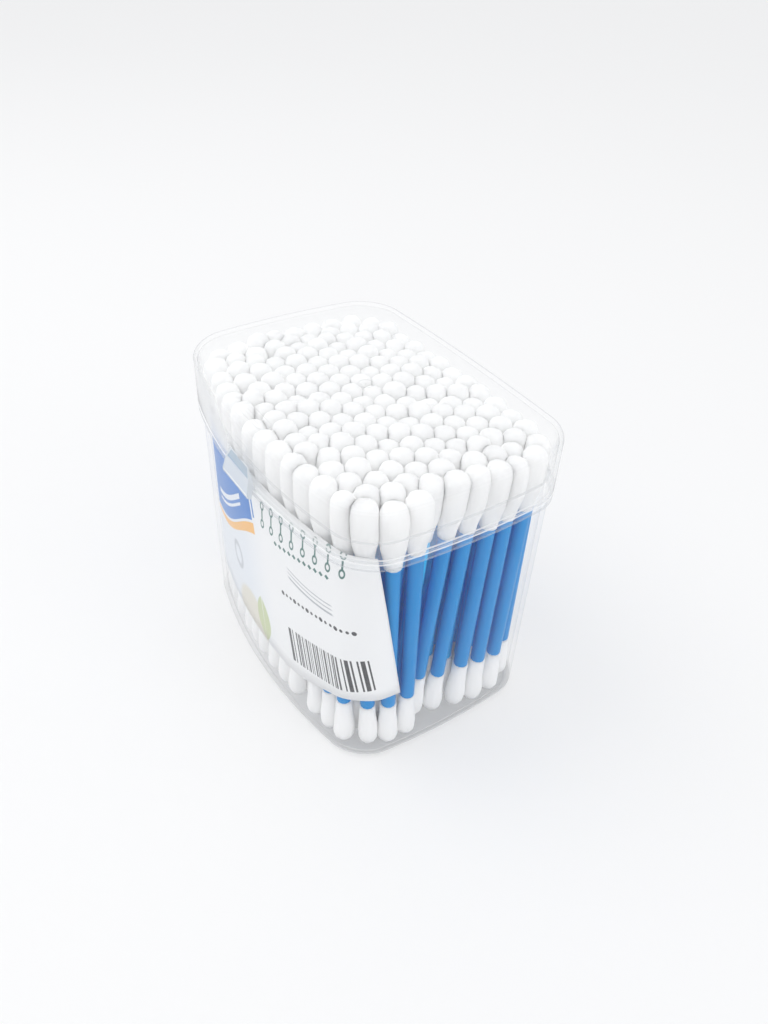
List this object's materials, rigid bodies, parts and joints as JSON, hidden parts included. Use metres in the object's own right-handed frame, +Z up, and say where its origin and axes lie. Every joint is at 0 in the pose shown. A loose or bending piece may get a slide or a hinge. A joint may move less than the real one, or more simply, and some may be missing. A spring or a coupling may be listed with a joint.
{
  "type": "cotton swab tub",
  "caption": "Clear rounded tub with a flip-top lid, full of upright double-ended cotton swabs, with a paper label inside.",
  "frame": {"origin": "centre of the flat underside of the tub", "axes": "+Z up; -Y the front, with the thumb tab and the label; +Y the back, with the lid's hinge; X along the long sides"},
  "size_m": [0.087, 0.0665, 0.08],
  "materials": {
    "clear_plastic": "clear, polished, faintly blue-grey",
    "label_paper": "printed paper, matt",
    "cotton": "wound cotton wool, matt, warm white",
    "stick_blue": "blue plastic stick, satin"
  },
  "bodies": {
    "tub": {"label": "label_paper", "swab_01": "stick_blue", "swab_02": "stick_blue", "swab_03": "stick_blue", "swab_04": "stick_blue", "swab_05": "stick_blue", "swab_06": "stick_blue", "swab_07": "stick_blue", "swab_08": "stick_blue", "swab_09": "stick_blue", "swab_10": "stick_blue", "swab_11": "stick_blue", "swab_12": "stick_blue", "swab_13": "stick_blue", "swab_14": "stick_blue", "swab_15": "stick_blue", "swab_16": "stick_blue", "swab_17": "stick_blue", "swab_18": "stick_blue", "swab_19": "stick_blue", "swab_20": "stick_blue", "swab_21": "stick_blue", "swab_22": "stick_blue", "swab_23": "stick_blue", "swab_24": "stick_blue", "swab_25": "stick_blue", "swab_26": "stick_blue", "swab_27": "stick_blue", "swab_28": "stick_blue", "swab_29": "stick_blue", "swab_30": "stick_blue", "swab_31": "stick_blue", "swab_32": "stick_blue", "swab_33": "stick_blue", "swab_34": "stick_blue", "swab_35": "stick_blue", "swab_36": "stick_blue", "swab_37": "stick_blue", "swab_38": "stick_blue", "swab_39": "stick_blue", "swab_40": "stick_blue", "swab_41": "stick_blue", "swab_core": "cotton", "tub": "clear_plastic"},
    "lid": {"lid": "clear_plastic"}
  },
  "joints": [
    {"name": "lid_hinge", "type": "hinge", "parent": "tub", "child": "lid", "pos_m": [0, 0.03275, 0.06615], "axis": [-1, 0, 0], "range_deg": [0, 130]}
  ]
}
